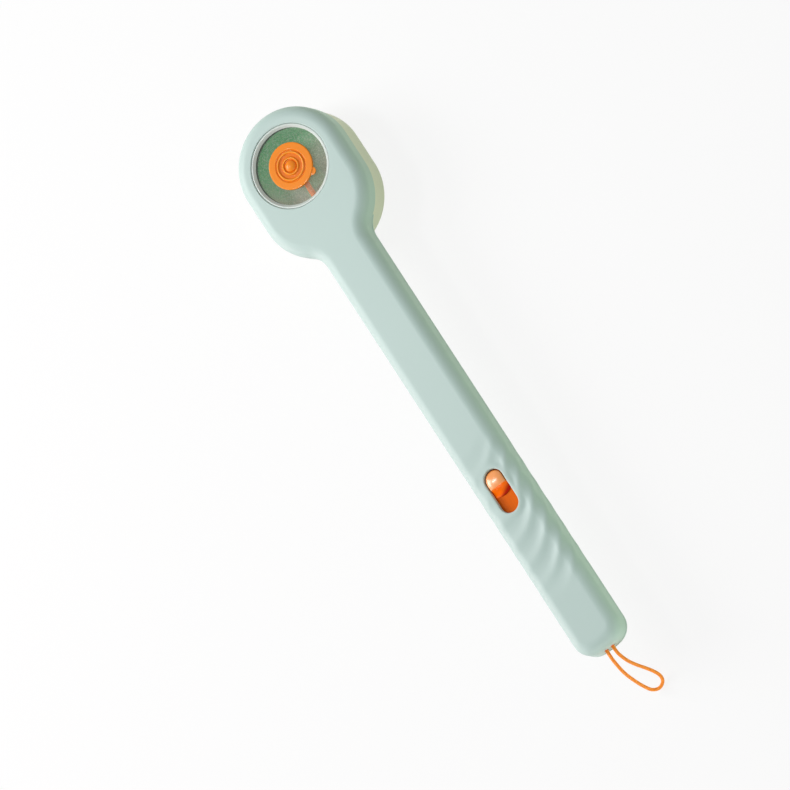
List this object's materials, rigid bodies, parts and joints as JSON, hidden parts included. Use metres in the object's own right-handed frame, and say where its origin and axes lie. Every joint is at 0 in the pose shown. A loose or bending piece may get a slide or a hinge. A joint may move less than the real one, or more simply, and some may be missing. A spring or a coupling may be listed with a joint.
{
  "type": "bath brush",
  "caption": "Long-handled bath brush with a gel reservoir and filler plug in the head, a thumb slider that opens its valve, a waved grip and a hanging cord.",
  "frame": {"origin": "below the middle of the brush's outline, at the level of the bristle tips", "axes": "+X along the handle from the head to the tail, +Z out of the flat back face, away from the bristles"},
  "size_m": [0.3917, 0.067, 0.0428],
  "materials": {
    "mint_plastic": "satin moulded",
    "cream_plastic": "satin moulded",
    "white_silicone": "soft silicone",
    "orange_silicone": "soft silicone",
    "orange_gloss": "glossy",
    "orange_plate": "satin",
    "orange_cord": "braided thread",
    "clear_plastic": "clear",
    "frosted_plastic": "frosted translucent",
    "light_plastic": "glossy",
    "grey_rubber": "matte",
    "white_plastic": "plain moulded",
    "steel": "plain"
  },
  "bodies": {
    "body": {"back_shell": "mint_plastic", "front_shell": "mint_plastic", "brush_base": "cream_plastic", "bristle_pad": "white_silicone", "pad_retainer": "cream_plastic", "outlet_nozzle": "orange_silicone", "window_bezel": "light_plastic", "window_lid": "clear_plastic", "lid_seal": "grey_rubber", "reservoir_cup": "frosted_plastic", "gate_guide": "white_plastic", "valve_seal": "grey_rubber", "outlet_seal": "grey_rubber", "rod_gland": "grey_rubber", "slider_guide": "white_plastic", "detent_spring": "steel", "guide_screw_1": "steel", "guide_screw_2": "steel", "guide_screw_3": "steel", "guide_screw_4": "steel", "cord_anchor": "orange_cord", "cord_loop": "orange_cord"},
    "slider": {"slide_button": "orange_gloss", "slider_carriage": "orange_plate", "pull_rod": "orange_plate", "valve_gate": "white_plastic"},
    "plug": {"filler_plug": "orange_silicone"}
  },
  "joints": [
    {"name": "slider_slide", "type": "slide", "parent": "body", "child": "slider", "axis": [1, 0, 0], "range_m": [0, 0.0082]},
    {"name": "plug_lift", "type": "slide", "parent": "body", "child": "plug", "axis": [0, 0, 1], "range_m": [0, 0.02]}
  ]
}
